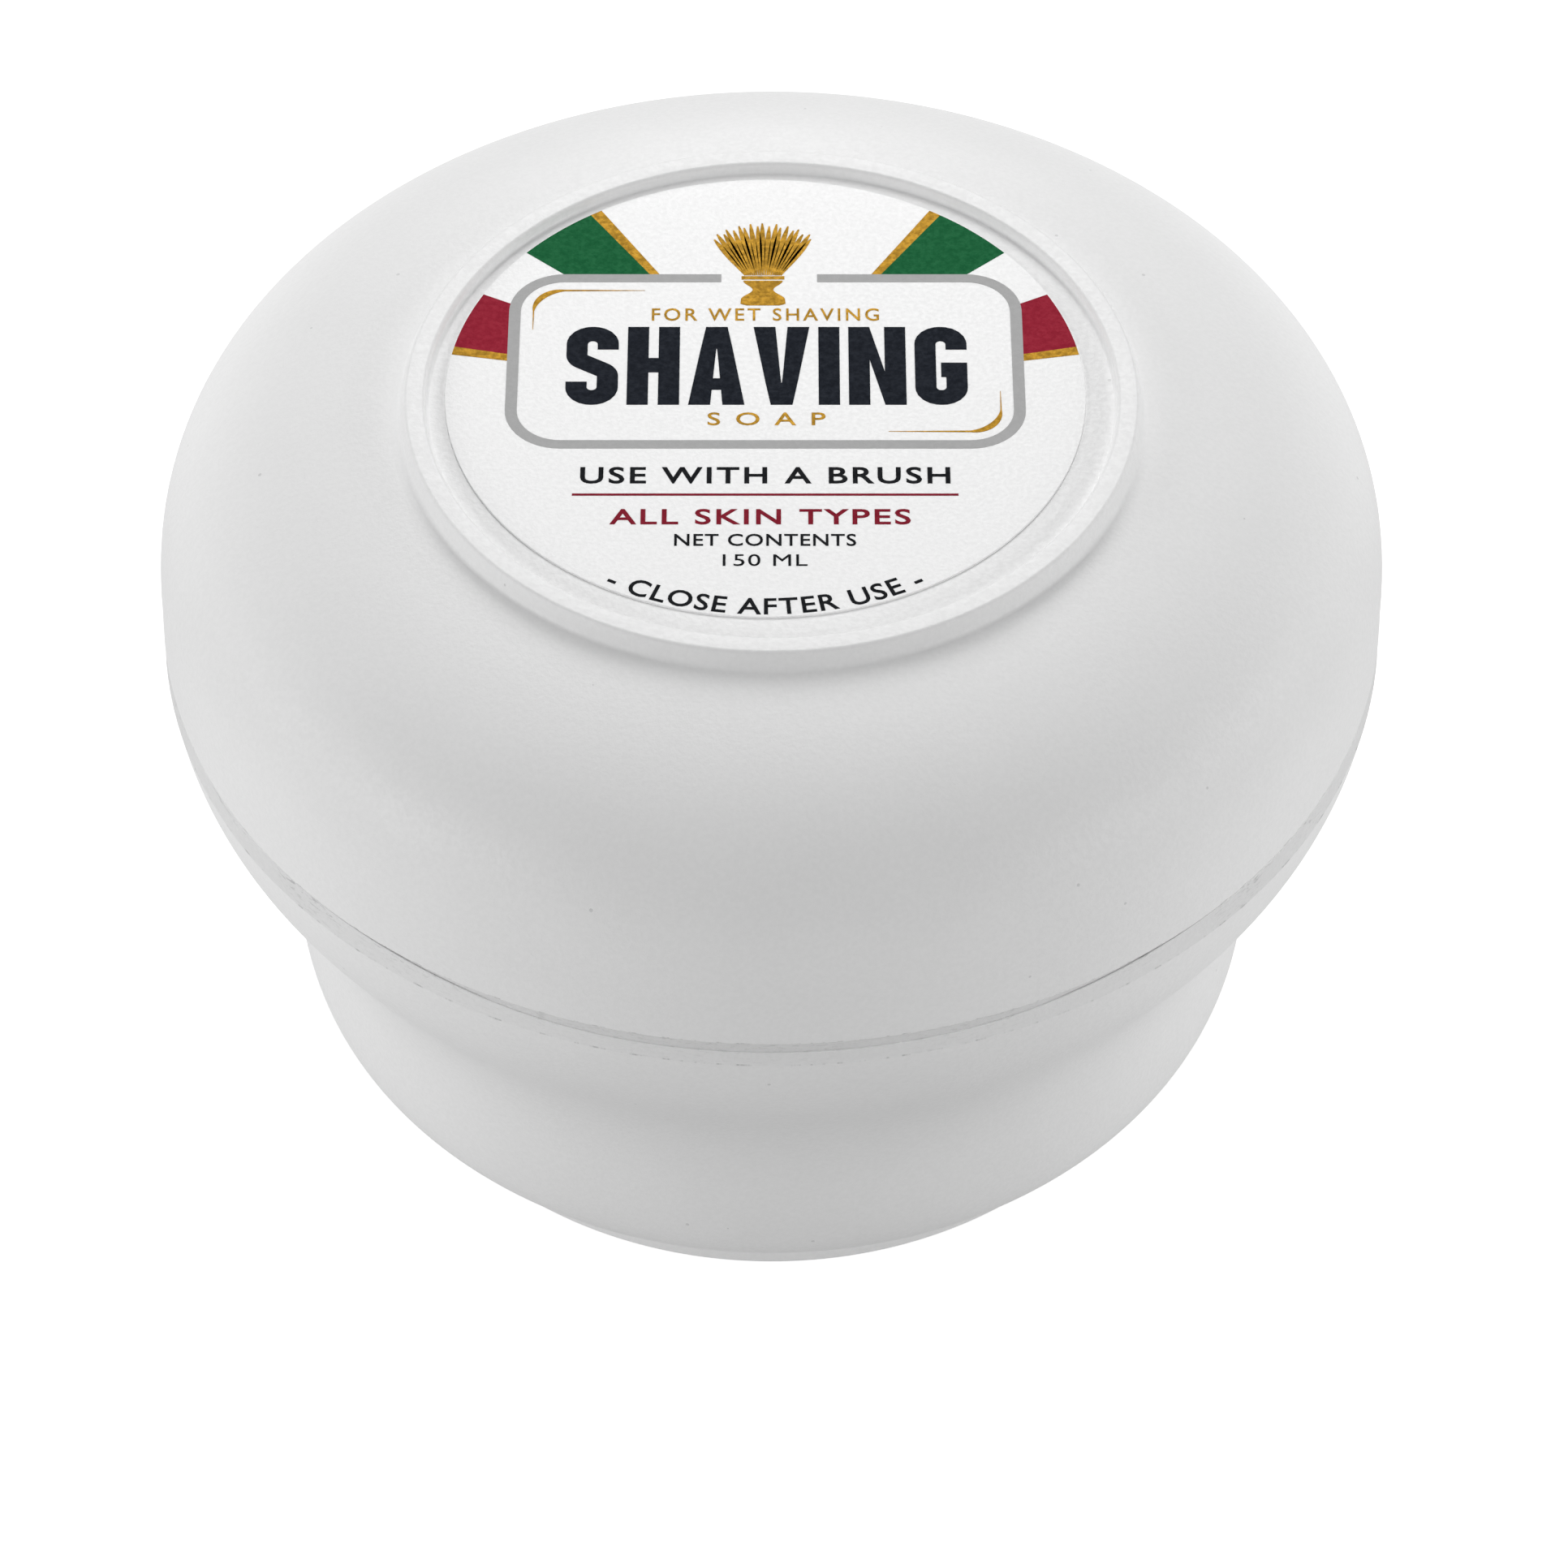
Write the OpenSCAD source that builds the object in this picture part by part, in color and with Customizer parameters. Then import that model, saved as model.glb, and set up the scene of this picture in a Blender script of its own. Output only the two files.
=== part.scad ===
// Shaving soap in a screw-lid bowl.
// A round white bowl holds a poured cake of soap. A domed lid screws onto its neck, and a raised ring
// on the lid frames a printed label. All lengths are in millimetres and all angles in degrees.
// The origin is the centre of the foot's underside, and +Z is the axis that the lid turns about.

/* [Rim] */
// Diameter of the rim band, where the bowl and the lid meet
rim_d = 100; // [98:0.5:102]
// Height of the closed lid's lower edge
rim_z = 45.75; // [44:0.25:48]
// Shadow line between the lid's lower edge and the bowl's band
rim_gap = 0.6; // [0.4:0.1:0.8]
// Depth of the shadow line, in to the step that the lid sits on
rim_step = 0.4; // [0.2:0.05:0.6]
// Height of the upright band below the shadow line
band_h = 1.85; // [1.2:0.05:2.4]

/* [Bowl] */
// Widest diameter of the bowl's wall, below the flare
wall_d = 81.7; // [79:0.1:84]
// Height at which the wall is widest
wall_z = 16.85; // [15:0.05:19]
// Radius of the middle of the bowl's base, where the belly curve ends
belly_core_r = 12; // [10:0.5:15]
// Height of the belly curve, from the widest wall down to the base
belly_h = 14.55; // [13.5:0.05:15]
// Exponent of the belly curve: 2 is an ellipse, more is squarer
belly_power = 3.9; // [3:0.1:5]
// Outside diameter of the foot ring
foot_d = 69.1; // [66:0.1:72]
// Width of the foot ring
foot_w = 2.2; // [1.6:0.1:3]
// Thickness of the bowl's wall
bowl_t = 1.8; // [1.4:0.1:2.2]

/* [Neck and thread] */
// Inside diameter of the neck
neck_inside_d = 89.2; // [88:0.1:90]
// Thickness of the neck's wall
neck_t = 1.6; // [1.2:0.1:1.8]
// Height of the neck above the lid's lower edge
neck_h = 8; // [7:0.25:9]
// Rise of the thread in one turn
thread_lead = 5; // [4:0.25:6]
// Height of each thread ridge above its wall
thread_depth = 1; // [0.7:0.05:1.05]
// Width of a ridge at its wall
thread_root = 2; // [1.4:0.1:2.2]
// Width of a ridge at its crest
thread_crest = 0.8; // [0.5:0.1:1]
// Radial clearance between one ridge's crest and the other part's wall
thread_clearance = 0.3; // [0.25:0.05:0.4]

/* [Lid] */
// Widest diameter of the dome
dome_d = 99.8; // [98:0.1:102]
// Height above the rim at which the dome is widest
dome_base = 2.9; // [2:0.1:4]
// Height of the dome above its widest level
dome_h = 17.95; // [16:0.05:19]
// Radius at which the dome's curve would reach its top
dome_core_r = 17.8; // [14:0.2:20]
// Exponent of the dome's curve: 2 is an ellipse, more is squarer
dome_power = 2.7; // [2.2:0.1:3.2]
// Thickness of the lid's wall
lid_t = 1.6; // [1.3:0.1:1.8]
// Outside diameter of the raised ring, at the dome
ring_d = 59.6; // [58:0.1:62]
// Distance by which the ring's outer wall leans in, from the dome to its top
ring_lean = 0.45; // [0:0.05:0.8]
// Height of the ring's top above the rim
ring_top = 22; // [21.5:0.05:23]
// Inside diameter of the ring
ring_inside_d = 55.2; // [54.4:0.1:57]
// Depth of the label recess inside the ring
recess_h = 0.9; // [0.6:0.1:1.2]

/* [Label] */
// Diameter of the printed label on the lid
label_d = 51.3; // [48:0.1:53]
// Thickness of both labels
label_t = 0.15; // [0.1:0.05:0.3]
// Sideways offset of the hand-applied label
label_x = -0.5; // [-1:0.1:1]
// Offset of the hand-applied label away from the front
label_y = 0.85; // [-1:0.05:1]
// Diameter of the sticker under the bowl
base_label_d = 48; // [40:1:54]

/* [Soap and liner] */
// Height of the soap's surface in the middle
soap_z = 34.6; // [20:0.1:38]
// Rise of the soap's surface where it meets the wall
soap_meniscus = 0.7; // [0:0.1:1]
// Thickness of the sealing liner in the lid
liner_t = 1; // [0.8:0.1:1.2]

/* [Hidden] */
$fn = 180;
edge_r = 0.4;                    // rounding of moulded edges
fine_r = 0.2;                    // rounding of the rim band's upper edge
seat_gap = 0.1;                  // gap left between the lid's lower edge and the bowl's step
seal_gap = 0.1;                  // gap left on each side of the liner
soap_gap = 0.05;                 // gap left around the cake
liner_side_gap = 0.3;            // gap between the liner's edge and the lid's wall
thread_lap = 0.4;                // depth to which a ridge is rooted in its wall
thread_steps = 60;               // segments in one turn of thread
thread_taper = 6;                // segments over which a ridge fades in and out
thread_offset = 1.6;             // height of the bowl's ridge above the lid's, at the same angle
flare_drop = 11.2;               // length of the flare's upper handle
flare_inset = 0.95;              // distance by which the flare's upper handle leans in
flare_rise = 12.75;              // length of the flare's lower handle

rim_r = rim_d / 2;
wall_r = wall_d / 2;
foot_r = foot_d / 2;
ring_r = ring_d / 2;
ledge_z = rim_z - rim_gap;
base_z = wall_z - belly_h;       // underside of the bowl, inside the foot ring
neck_r = neck_inside_d / 2;
neck_outer_r = neck_r + neck_t;
neck_z = rim_z + neck_h;
liner_z = neck_z + seal_gap;
seat_z = liner_z + liner_t + seal_gap;
lid_bore_r = neck_outer_r + thread_depth + thread_clearance;
dome_z = rim_z + dome_base;
dome_r = dome_d / 2;
recess_z = rim_z + ring_top - recess_h;

// ---- curves, as lists of [radius, height] points ----

// An arc about a centre, from angle a0 to angle a1
function arc(centre, r, a0, a1, n = 6) =
    [for (i = [0:n]) centre + r * [cos(a0 + (a1 - a0) * i / n), sin(a0 + (a1 - a0) * i / n)]];

// A cubic curve from a to d, leaving towards b and arriving from c
function cubic(a, b, c, d, n) =
    [for (i = [0:n]) let (t = i / n, s = 1 - t)
        s * s * s * a + 3 * s * s * t * b + 3 * s * t * t * c + t * t * t * d];

// A quarter of a superellipse, from its widest point (angle 0) up to angle a; h below 0 turns it down
function super_arc(core_r, z, r, h, power, a, n) =
    [for (i = [0:n]) let (t = a * i / n)
        [core_r + (r - core_r) * pow(cos(t), 2 / power), z + h * pow(sin(t), 2 / power)]];

// The angle at which that curve has come in to radius r_end
function super_angle(core_r, r, power, r_end) = acos(pow((r_end - core_r) / (r - core_r), power / 2));

// A curve moved sideways by d, to the left of the way it runs
function shifted(p, d) =
    [for (i = [0:len(p) - 1]) let (
        v = p[min(i + 1, len(p) - 1)] - p[max(i - 1, 0)],
        s = d / norm(v))
        p[i] + s * [-v.y, v.x]];

function reversed(p) = [for (i = [len(p) - 1:-1:0]) p[i]];

// The height of a curve that runs outwards and upwards, at radius r
function height_at(p, r) = lookup(r, p);

// ---- the bowl's wall ----

// The outside of the bowl from radius r_end on its base, out round the belly and up the flare
function bowl_outside(r_end) = concat(
    reversed(super_arc(belly_core_r, wall_z, wall_r, -belly_h, belly_power,
        super_angle(belly_core_r, wall_r, belly_power, r_end), 28)),
    [for (p = cubic([wall_r, wall_z], [wall_r, wall_z + flare_rise],
        [rim_r - flare_inset, ledge_z - band_h - flare_drop], [rim_r, ledge_z - band_h], 24))
        if (p.y > wall_z + 0.01) p]);

// The inside of the bowl, d inside its outside, from the middle of the floor up to the neck
function bowl_inside(d) = let (curve = shifted(bowl_outside(belly_core_r + 1), d)) concat(
    [[0, base_z + d]],
    [for (p = curve) if (p.x < neck_r - (d - bowl_t) - 0.01) p],
    [[neck_r - (d - bowl_t), height_at(curve, neck_r - (d - bowl_t))]]);

// A trapezoid ridge swept along a helix. Its wall has radius r; side is 1 for a ridge that stands
// outwards and -1 for one that stands inwards. It starts at angle a0 and its middle starts at z0.
module thread(r, side, a0, z0, turns) {
    steps = round(turns * thread_steps);
    function fade(i) = min(1, i / thread_taper, (steps - i) / thread_taper);
    function ridge(i) = let (
        root = r - side * thread_lap,
        crest = r + side * (thread_depth * fade(i) - thread_lap / 2 * (1 - fade(i))),
        wide = (thread_root + (thread_root - thread_crest) * thread_lap / thread_depth) / 2,
        narrow = thread_crest / 2)
        [[root, -wide], [crest, -narrow], [crest, narrow], [root, wide]];
    points = [for (i = [0:steps]) let (
        a = a0 + 360 * i / thread_steps,
        z = z0 + thread_lead * i / thread_steps)
        for (q = ridge(i)) [q.x * cos(a), q.x * sin(a), z + q.y]];
    // Each quad is two triangles, turned so that it faces outwards on either kind of ridge
    function facing(f) = side > 0 ? f : [f[2], f[1], f[0]];
    sides = [for (i = [0:steps - 1], j = [0:3]) let (
        a = 4 * i + j, b = 4 * i + (j + 1) % 4)
        for (f = [[a, b, b + 4], [a, b + 4, a + 4]]) facing(f)];
    ends = [for (f = [[0, 3, 2], [0, 2, 1]]) facing(f)];
    far_ends = [for (f = [[0, 1, 2], [0, 2, 3]]) facing([for (k = f) k + 4 * steps])];
    polyhedron(points, concat(sides, ends, far_ends));
}

// ---- one module for each piece ----

// The moulded bowl: a foot ring, a rounded belly, a flare up to the rim band, and a threaded neck
module bowl() {
    foot_inner_r = foot_r - foot_w;
    outline = concat(
        [[0, base_z], [foot_inner_r, base_z], [foot_inner_r, edge_r]],
        arc([foot_inner_r + edge_r, edge_r], edge_r, 180, 270),
        arc([foot_r - edge_r, edge_r], edge_r, 270, 360),
        bowl_outside(foot_r),
        arc([rim_r - fine_r, ledge_z - fine_r], fine_r, 0, 90),
        [[rim_r - rim_step, ledge_z]],
        arc([rim_r - rim_step - fine_r, rim_z - seat_gap - fine_r], fine_r, 0, 90),
        [[neck_outer_r, rim_z - seat_gap]],
        arc([neck_outer_r - edge_r, neck_z - edge_r], edge_r, 0, 90),
        arc([neck_r + edge_r, neck_z - edge_r], edge_r, 90, 180),
        reversed(bowl_inside(bowl_t)));
    color("white") {
        rotate_extrude() polygon(outline);
        thread(neck_outer_r, 1, 0, rim_z + 1.9, 1);
    }
}

// The cake of soap, poured into the bowl, with a surface that climbs a little at the wall
module soap() {
    inside = bowl_inside(bowl_t + soap_gap);
    wall = [for (p = inside) if (p.y < soap_z - 0.5) p];
    edge = neck_r - soap_gap;
    color("ivory") rotate_extrude() polygon(concat(
        wall,
        [[edge, soap_z + soap_meniscus]],
        cubic([edge - 0.6, soap_z + soap_meniscus], [edge - 1.6, soap_z + 0.1],
            [edge - 4, soap_z], [edge - 9, soap_z], 8),
        [[0, soap_z]]));
}

// The round sticker in the recess inside the foot ring
module base_label() {
    color("whitesmoke") translate([0, 0, base_z - label_t]) cylinder(h = label_t, d = base_label_d);
}

// The foam disc that the neck presses against when the lid is tight
module liner() {
    color("gainsboro") translate([0, 0, liner_z]) cylinder(h = liner_t, r = lid_bore_r - liner_side_gap);
}

// The moulded lid: a dome with a raised ring and a label recess, a seat for the liner, and a thread
module lid() {
    dome = super_arc(dome_core_r, dome_z, dome_r, dome_h, dome_power,
        super_angle(dome_core_r, dome_r, dome_power, ring_r), 36);
    dome_inside = shifted(dome, lid_t);
    ring_inner_r = ring_inside_d / 2;
    ceiling_z = recess_z - lid_t;
    seat_r = neck_r + 0.2;
    above_seat = [for (p = dome_inside) if (p.x < seat_r) p];
    outline = concat(
        arc([rim_r - edge_r, rim_z + edge_r], edge_r, 270, 360),
        dome,
        arc([ring_r - ring_lean - edge_r, rim_z + ring_top - edge_r], edge_r, 0, 90),
        arc([ring_inner_r + edge_r, rim_z + ring_top - edge_r], edge_r, 90, 180),
        arc([ring_inner_r - edge_r, recess_z + edge_r], edge_r, 0, -90),
        [[0, recess_z], [0, ceiling_z], [ring_inner_r - 2, ceiling_z]],
        reversed(above_seat),
        [[seat_r, lookup(seat_r, reversed(dome_inside))],
         [seat_r, seat_z], [lid_bore_r, seat_z], [lid_bore_r, rim_z + edge_r], [lid_bore_r + edge_r, rim_z]]);
    color("white") {
        rotate_extrude() polygon(outline);
        thread(lid_bore_r, -1, 80, rim_z + 1.9 - thread_offset + thread_lead * 80 / 360, 1);
    }
}

// The printed label in the lid's recess, a little off centre as it is applied by hand
module top_label() {
    color("ghostwhite") translate([label_x, label_y, recess_z]) cylinder(h = label_t, d = label_d);
}

bowl();
soap();
base_label();
liner();
lid();
top_label();
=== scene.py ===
"""A round white shaving-soap bowl with a domed screw lid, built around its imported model."""

import bmesh
import bpy
import numpy as np
from mathutils import Euler, Matrix, Vector


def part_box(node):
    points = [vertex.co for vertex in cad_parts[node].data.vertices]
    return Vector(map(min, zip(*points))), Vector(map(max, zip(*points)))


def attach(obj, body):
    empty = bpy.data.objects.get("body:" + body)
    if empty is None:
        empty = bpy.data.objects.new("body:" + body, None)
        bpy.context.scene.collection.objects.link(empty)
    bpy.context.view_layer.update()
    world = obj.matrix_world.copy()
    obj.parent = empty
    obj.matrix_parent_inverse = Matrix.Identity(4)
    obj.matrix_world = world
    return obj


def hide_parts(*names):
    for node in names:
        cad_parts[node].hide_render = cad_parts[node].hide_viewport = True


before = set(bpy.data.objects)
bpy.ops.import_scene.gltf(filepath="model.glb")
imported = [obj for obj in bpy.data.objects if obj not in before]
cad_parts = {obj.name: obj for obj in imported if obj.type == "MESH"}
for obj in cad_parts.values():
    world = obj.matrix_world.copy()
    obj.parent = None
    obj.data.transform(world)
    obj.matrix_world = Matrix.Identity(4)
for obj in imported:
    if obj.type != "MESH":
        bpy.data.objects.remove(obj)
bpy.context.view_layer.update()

# ---- the camera ----
# A long lens from the front, about half a metre away and 45 degrees up. It aims a little below the rim,
# which puts the bowl high in a square picture.
scene = bpy.context.scene
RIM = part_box("lid")[0].z                    # height of the closed lid's lower edge
camera_height_angle = np.radians(44.685)
camera_distance = 0.4972
aim_below = np.radians(1.875)
aim_right = np.radians(0.118)

lens = bpy.data.cameras.new("camera")
lens.sensor_width = 36
lens.lens = 138.36
lens.clip_start = 0.05
camera = bpy.data.objects.new("camera", lens)
camera.location = (0, -camera_distance * np.cos(camera_height_angle),
                   RIM + camera_distance * np.sin(camera_height_angle))
camera.rotation_euler = (Euler((np.pi / 2 - camera_height_angle - aim_below, 0, 0)).to_matrix()
                         @ Euler((0, -aim_right, 0)).to_matrix()).to_euler()
scene.collection.objects.link(camera)
scene.camera = camera


# ---- the studio ----
# A pale light table in a white room, lit by soft boxes that the camera can't see.
def white_room(level):
    """A world of one even grey-white level."""
    world = bpy.data.worlds.new("white_room")
    world.use_nodes = True
    world.node_tree.nodes["Background"].inputs["Color"].default_value = (1, 1, 1, 1)
    world.node_tree.nodes["Background"].inputs["Strength"].default_value = level
    scene.world = world


def soft_box(name, turn, height, power):
    """A round area light a metre away at an azimuth and height angle, in degrees, aimed at the middle of
    the object. Azimuth 0 is the camera's side, and it grows towards +X. The power is in watts."""
    a, h = np.radians(turn), np.radians(height)
    place = Vector((np.sin(a) * np.cos(h), -np.cos(a) * np.cos(h), np.sin(h)))
    light = bpy.data.lights.new(name, "AREA")
    light.shape = "DISK"
    light.size = 0.4
    light.energy = power
    box = bpy.data.objects.new(name, light)
    box.location = place + Vector((0, 0, MIDDLE))
    box.rotation_euler = place.to_track_quat("Z", "Y").to_euler()
    box.visible_camera = False
    scene.collection.objects.link(box)


def light_table(half, level, extra):
    """A flat pale sheet under the object, twice half a width across, that glows evenly as a light table
    does. It lights the object with the first level, and looks brighter by the extra one."""
    mesh = bpy.data.meshes.new("light_table")
    mesh.from_pydata([(-half, -half, 0), (half, -half, 0), (half, half, 0), (-half, half, 0)],
                     [], [(0, 1, 2, 3)])
    table = bpy.data.objects.new("light_table", mesh)
    material = bpy.data.materials.new("light_table")
    material.use_nodes = True
    nodes, links = material.node_tree.nodes, material.node_tree.links
    shader = nodes["Principled BSDF"]
    shader.inputs["Base Color"].default_value = (0.45, 0.45, 0.45, 1)
    shader.inputs["Roughness"].default_value = 0.8
    shader.inputs["Specular IOR Level"].default_value = 0.2
    shader.inputs["Emission Color"].default_value = (1, 1, 1, 1)
    seen = nodes.new("ShaderNodeMath")
    seen.operation = "MULTIPLY_ADD"
    links.new(nodes.new("ShaderNodeLightPath").outputs["Is Camera Ray"], seen.inputs[0])
    seen.inputs[1].default_value = extra
    seen.inputs[2].default_value = level
    links.new(seen.outputs[0], shader.inputs["Emission Strength"])
    mesh.materials.append(material)
    scene.collection.objects.link(table)


MIDDLE = 0.035                              # height of the middle of the object
scene.view_settings.view_transform = "Standard"
white_room(0.2)
light_table(3, 0.225, 0.525)
soft_box("box_back_high", 180, 52, 2.3)
soft_box("box_back_low", 180, 34, 4.39)
soft_box("box_front_left", -60, 18, 3.5)
soft_box("box_front_right", 60, 18, 2.55)
soft_box("box_left", -90, 18, 2.0)
soft_box("box_right", 90, 18, 2.5)


# ---- the bowl ----
# One polypropylene moulding: foot ring, rounded belly, flare, upright rim band and threaded neck. Its
# outside is a turned curve; the inside runs a wall's thickness behind it and comes straight up the neck.
def cubic(a, b, c, d, n):
    """Points on a cubic curve from a to d that leaves towards b and arrives from c."""
    t = np.linspace(0, 1, n)[:, None]
    return ((1 - t) ** 3 * np.array(a) + 3 * (1 - t) ** 2 * t * np.array(b)
            + 3 * (1 - t) * t ** 2 * np.array(c) + t ** 3 * np.array(d))


def super_arc(core, z, r, h, power, r_end, n):
    """A quarter of a superellipse about (core, z) with half axes r - core and h, from its widest point
    in to radius r_end: radius = core + (r - core) cos(t)^(2/power), height = z + h sin(t)^(2/power)."""
    last = np.arccos(((r_end - core) / (r - core)) ** (power / 2))
    t = np.linspace(0, last, n)
    return np.column_stack([core + (r - core) * np.cos(t) ** (2 / power),
                            z + h * np.sin(t) ** (2 / power)])


def shifted(curve, d):
    """The curve moved sideways by d, to the left of the way that it runs."""
    way = np.gradient(curve, axis=0)
    way /= np.linalg.norm(way, axis=1)[:, None]
    return curve + d * np.column_stack([-way[:, 1], way[:, 0]])


def rounded(corners, n=7):
    """A path through (radius, height, rounding) corners, each turned into an arc of that radius."""
    path = []
    for i, (x, z, r) in enumerate(corners):
        here = np.array([x, z], float)
        if r == 0 or i in (0, len(corners) - 1):
            path.append(here[None])
            continue
        back = np.array(corners[i - 1][:2]) - here
        on = np.array(corners[i + 1][:2]) - here
        back, on = back / np.linalg.norm(back), on / np.linalg.norm(on)
        half = np.arccos(np.clip(back @ on, -1, 1)) / 2
        middle = here + (back + on) / np.linalg.norm(back + on) * r / np.sin(half)
        start, end = here + back * r / np.tan(half), here + on * r / np.tan(half)
        t = np.linspace(0, 1, n)[:, None]
        arm = (1 - t) * (start - middle) + t * (end - middle)
        path.append(middle + r * arm / np.linalg.norm(arm, axis=1)[:, None])
    return np.vstack(path)


def solid(name, points, faces, body, sharp=32):
    """A mesh object of those points and faces that rides on a body, smooth but for its sharp edges."""
    mesh = bpy.data.meshes.new(name)
    mesh.from_pydata(points.tolist(), [], faces)
    mesh.validate()
    mesh.shade_smooth()
    mesh.set_sharp_from_angle(angle=np.radians(sharp))
    piece = bpy.data.objects.new(name, mesh)
    scene.collection.objects.link(piece)
    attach(piece, body)
    return piece


def turned(name, profile, body, around=288, waver=None):
    """A solid of revolution. The profile is a list of (radius, height) points in millimetres that starts
    and ends on the axis, with the solid on its left. waver(angle, radius, height) gives small moves of the
    radius and the height."""
    ring = profile[1:-1]
    angle = np.linspace(0, 2 * np.pi, around, endpoint=False)[None, :]
    r = np.repeat(ring[:, :1], around, axis=1)
    z = np.repeat(ring[:, 1:], around, axis=1)
    if waver is not None:
        out, up = waver(angle, r, z)
        r, z = r + out, z + up
    points = np.stack([r * np.cos(angle), r * np.sin(angle), z], axis=-1).reshape(-1, 3)
    poles = np.array([[0, 0, profile[0, 1]], [0, 0, profile[-1, 1]]])
    points = np.vstack([points, poles]) * MM
    rows, last = len(ring), len(points) - 1
    i, j = np.meshgrid(np.arange(rows - 1), np.arange(around), indexing="ij")
    k = (j + 1) % around
    quads = np.stack([i * around + j, i * around + k, (i + 1) * around + k, (i + 1) * around + j], -1)
    j = np.arange(around)
    k = (j + 1) % around
    first_cap = np.column_stack([np.full(around, last - 1), k, j])
    end = (rows - 1) * around
    last_cap = np.column_stack([np.full(around, last), end + j, end + k])
    faces = quads.reshape(-1, 4).tolist() + first_cap.tolist() + last_cap.tolist()
    return solid(name, points, faces, body)


def screw_ridge(name, r, side, turn, z, body):
    """A one-turn thread ridge on a wall of radius r, outwards for side 1 and inwards for -1. The section
    is a rounded trapezoid carried along a helix, and it fades into the wall over its ends."""
    t = np.linspace(0, 1, 241)
    fade = np.clip(np.minimum(t, 1 - t) * 10, 0.003, 1) ** 0.5
    across = np.linspace(-1, 1, 17)
    bump = 1 / (1 + np.abs(across / 0.62) ** 6)
    bump = (bump - bump[0]) / (bump[8] - bump[0])
    reach = np.where(np.abs(across) == 1, -THREAD_LAP, THREAD_DEPTH * bump)
    radius = r + side * (reach[None, :] * fade[:, None] - (1 - fade[:, None]) * THREAD_LAP / 2)
    angle = np.radians(turn) + 2 * np.pi * t[:, None] + 0 * radius
    height = z + THREAD_LEAD * t[:, None] + across[None, :] * THREAD_ROOT / 2
    points = np.stack([radius * np.cos(angle), radius * np.sin(angle), height], -1).reshape(-1, 3) * MM
    n = len(across)
    i, j = np.meshgrid(np.arange(len(t) - 1), np.arange(n), indexing="ij")
    k = (j + 1) % n
    quads = np.stack([i * n + j, (i + 1) * n + j, (i + 1) * n + k, i * n + k], -1).reshape(-1, 4)
    ends = [list(range(n)), list(range(len(points) - 1, len(points) - 1 - n, -1))]
    faces = quads.tolist() + ends
    if side < 0:
        faces = [f[::-1] for f in faces]
    return solid(name, points, faces, body, sharp=50)


MM = 0.001
RIM_MM = RIM / MM
RIM_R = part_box("bowl")[1].x / MM
RIM_GAP, RIM_STEP = 0.6, 0.16
BAND = 1.85
WALL_R, WALL_Z = 40.85, 16.85
BELLY_CORE, BELLY_H, BELLY_POWER = 12, 14.55, 3.9
BASE_Z = WALL_Z - BELLY_H
FOOT_R, FOOT_W = 34.55, 2.2
BOWL_T = 1.8
NECK_R, NECK_T = 44.6, 1.6
NECK_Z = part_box("bowl")[1].z / MM
THREAD_LEAD, THREAD_DEPTH, THREAD_ROOT, THREAD_LAP = 5, 1, 2, 0.4
THREAD_RISE = 1.9                           # height of the neck's ridge over the lid's edge, at its start
EDGE = 0.4
ledge = RIM_MM - RIM_GAP
seam = ledge - BAND                         # height of the moulding's parting line

belly = super_arc(BELLY_CORE, WALL_Z, WALL_R, -BELLY_H, BELLY_POWER, FOOT_R, 48)[::-1]
flare = cubic((WALL_R, WALL_Z), (WALL_R, WALL_Z + 12.75), (RIM_R - 0.95, seam - 11.2), (RIM_R, seam), 56)
whole_belly = super_arc(BELLY_CORE, WALL_Z, WALL_R, -BELLY_H, BELLY_POWER, BELLY_CORE + 0.5, 60)[::-1]
bowl_inside = shifted(np.vstack([whole_belly, flare[1:]]), BOWL_T)
bowl_inside = bowl_inside[bowl_inside[:, 0] < NECK_R]


def rim_waver(angle, r, z):
    """A hair of uneven flash around the parting line, and a band whose upper edge dips by a fraction of a
    millimetre at the front, where the shadow line under the lid opens: gap = 0.03 + 0.92 exp(-(a / 31)^4)
    at an angle of a degrees from the front."""
    uneven = sum(np.sin(n * angle + 1.7 * n) for n in (5, 13, 29, 61)) / 4
    flash = np.exp(-((z - seam) / 0.16) ** 2) * (0.035 + 0.02 * uneven) * (r > RIM_R - 1)
    from_front = np.degrees(np.abs(angle - 1.5 * np.pi))
    from_front = np.minimum(from_front, 360 - from_front)
    dip = RIM_GAP - 0.03 - 0.92 * np.exp(-(from_front / 31) ** 4)
    near_edge = np.clip((z - ledge + 1) / 0.8, 0, 1) * (z < ledge + 0.01) * (r > RIM_R - 0.5)
    return flash, dip * near_edge


bowl_profile = np.vstack([
    [[0, BASE_Z], [FOOT_R - FOOT_W - 0.6, BASE_Z]],
    rounded([(FOOT_R - FOOT_W, BASE_Z, 0), (FOOT_R - FOOT_W, 0, EDGE), (FOOT_R, 0, EDGE),
             (FOOT_R, belly[0, 1] - 0.3, 0)]),
    belly[1:],
    flare[1:-3],
    np.column_stack([np.full(9, RIM_R), np.linspace(seam - 0.4, seam + 0.4, 9)]),
    rounded([(RIM_R, seam + 0.6, 0), (RIM_R, ledge, 0.08), (RIM_R - RIM_STEP, ledge, 0.06),
             (RIM_R - RIM_STEP, RIM_MM - 0.1, 0.2), (NECK_R + NECK_T, RIM_MM - 0.1, 0.25),
             (NECK_R + NECK_T, NECK_Z, EDGE), (NECK_R, NECK_Z, EDGE), (NECK_R, NECK_Z - 3, 0)]),
    bowl_inside[::-1],
    [[0, BASE_Z + BOWL_T]],
])
bowl = turned("bowl_moulding", bowl_profile, "bowl", waver=rim_waver)
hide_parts("bowl")
bowl_thread = screw_ridge("bowl_thread", NECK_R + NECK_T, 1, 0, RIM_MM + THREAD_RISE, "bowl")


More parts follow.
